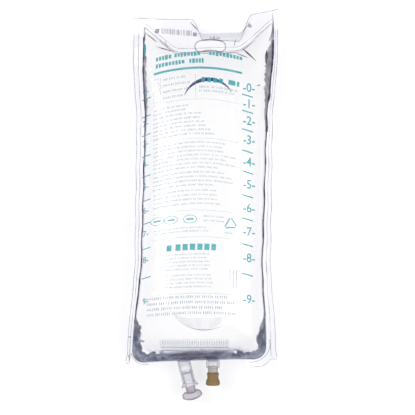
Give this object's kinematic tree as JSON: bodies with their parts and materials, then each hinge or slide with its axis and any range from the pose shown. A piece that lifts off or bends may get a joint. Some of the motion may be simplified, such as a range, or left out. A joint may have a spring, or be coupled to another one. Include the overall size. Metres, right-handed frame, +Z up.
{
  "type": "iv fluid bag",
  "caption": "Filled flexible infusion bag lying on its back, with a slotted header, a long air bubble, a capped outlet port and a rubber stoppered injection port.",
  "frame": {"origin": "on the table under the middle of the whole bag", "axes": "+Y towards the hanger header, +X to the right as seen from the front with the header up, +Z up from the table out of the front film"},
  "size_m": [0.1409, 0.3614, 0.0455],
  "materials": {
    "film": "clear glossy polypropylene film",
    "solution": "clear water like liquid",
    "plate": "frosted moulded polypropylene",
    "tube": "clear flexible tube",
    "fitting": "clear moulded plastic",
    "cap": "clear moulded plastic, faintly smoky",
    "neck": "grey translucent plastic",
    "stopper": "matt tan rubber"
  },
  "bodies": {
    "bag": {"film_bag": "film", "solution": "solution", "port_plate": "plate", "outlet_tube": "tube", "outlet_fitting": "fitting", "outlet_membrane": "fitting", "injection_tube": "tube", "injection_neck": "neck", "injection_stopper": "stopper"},
    "cap": {"outlet_cap": "cap"}
  },
  "joints": [
    {"name": "outlet_cap_pull", "type": "slide", "parent": "bag", "child": "cap", "axis": [0.241, -0.9666, -0.0872], "range_m": [0, 0.03]}
  ]
}
